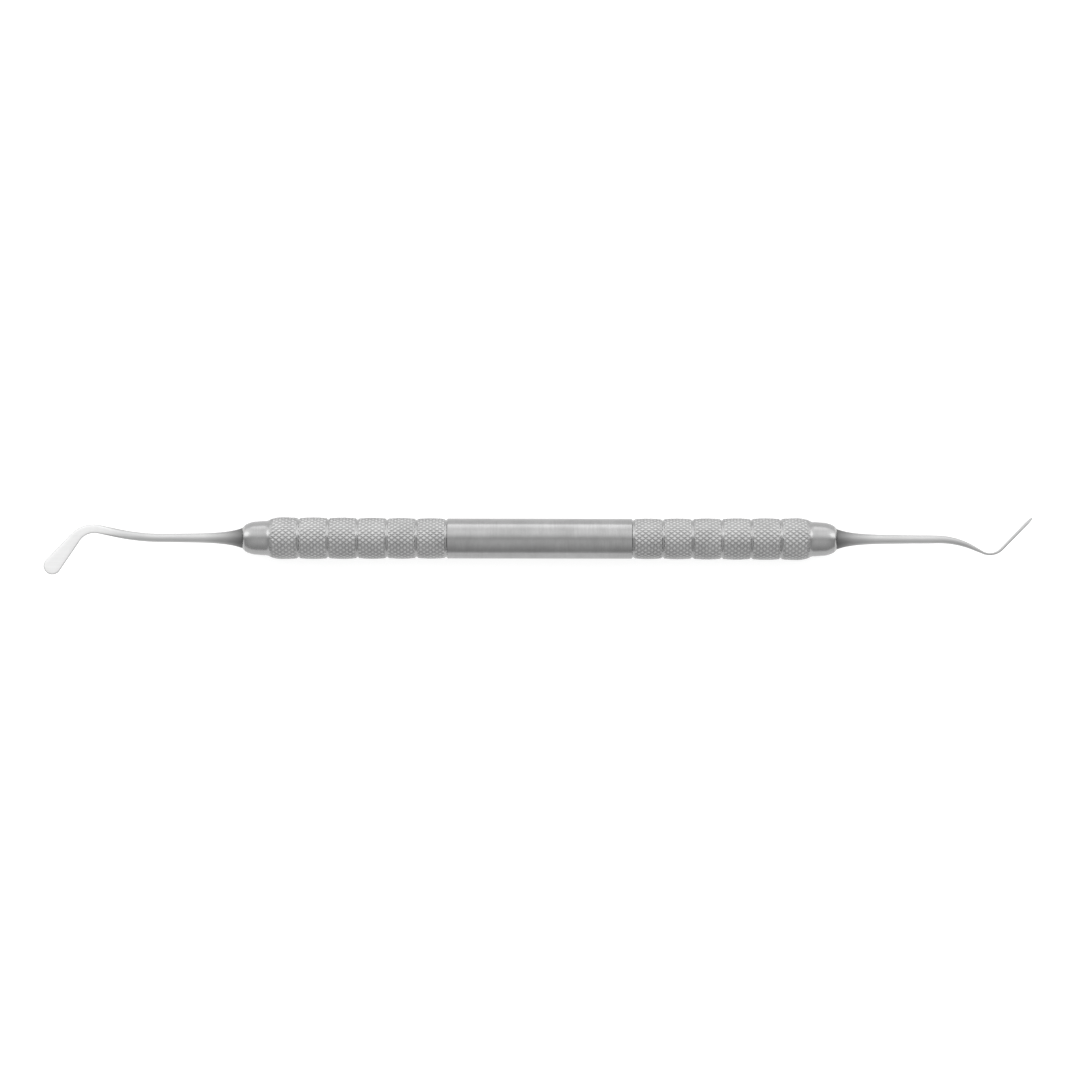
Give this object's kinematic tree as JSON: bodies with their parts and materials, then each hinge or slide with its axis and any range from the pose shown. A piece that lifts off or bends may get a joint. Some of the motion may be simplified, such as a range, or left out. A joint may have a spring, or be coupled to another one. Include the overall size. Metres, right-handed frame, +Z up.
{
  "type": "double-ended dental spatula instrument",
  "caption": "Slim steel hand instrument with a knurled hollow handle and a thin round-tipped spatula blade, bent to the side, at each end.",
  "frame": {"origin": "on the handle's axis, in the middle of the smooth barrel", "axes": "+X along the handle, towards the end whose blade is square to the bends; +Y across, in the plane of all the bends; +Z up, square to that plane, with the instrument lying on a table"},
  "size_m": [0.178, 0.0106, 0.0076],
  "materials": {
    "handle_steel": "satin stainless steel, knurled on the grips",
    "plug_steel": "fine satin stainless steel",
    "polished_steel": "polished stainless steel",
    "solder": "bright silver solder"
  },
  "bodies": {
    "root": {"handle_tube": "handle_steel", "left_end_plug": "plug_steel", "right_end_plug": "plug_steel", "left_blade_insert": "polished_steel", "right_blade_insert": "polished_steel", "left_seal_ring": "solder", "right_seal_ring": "solder"}
  },
  "joints": []
}
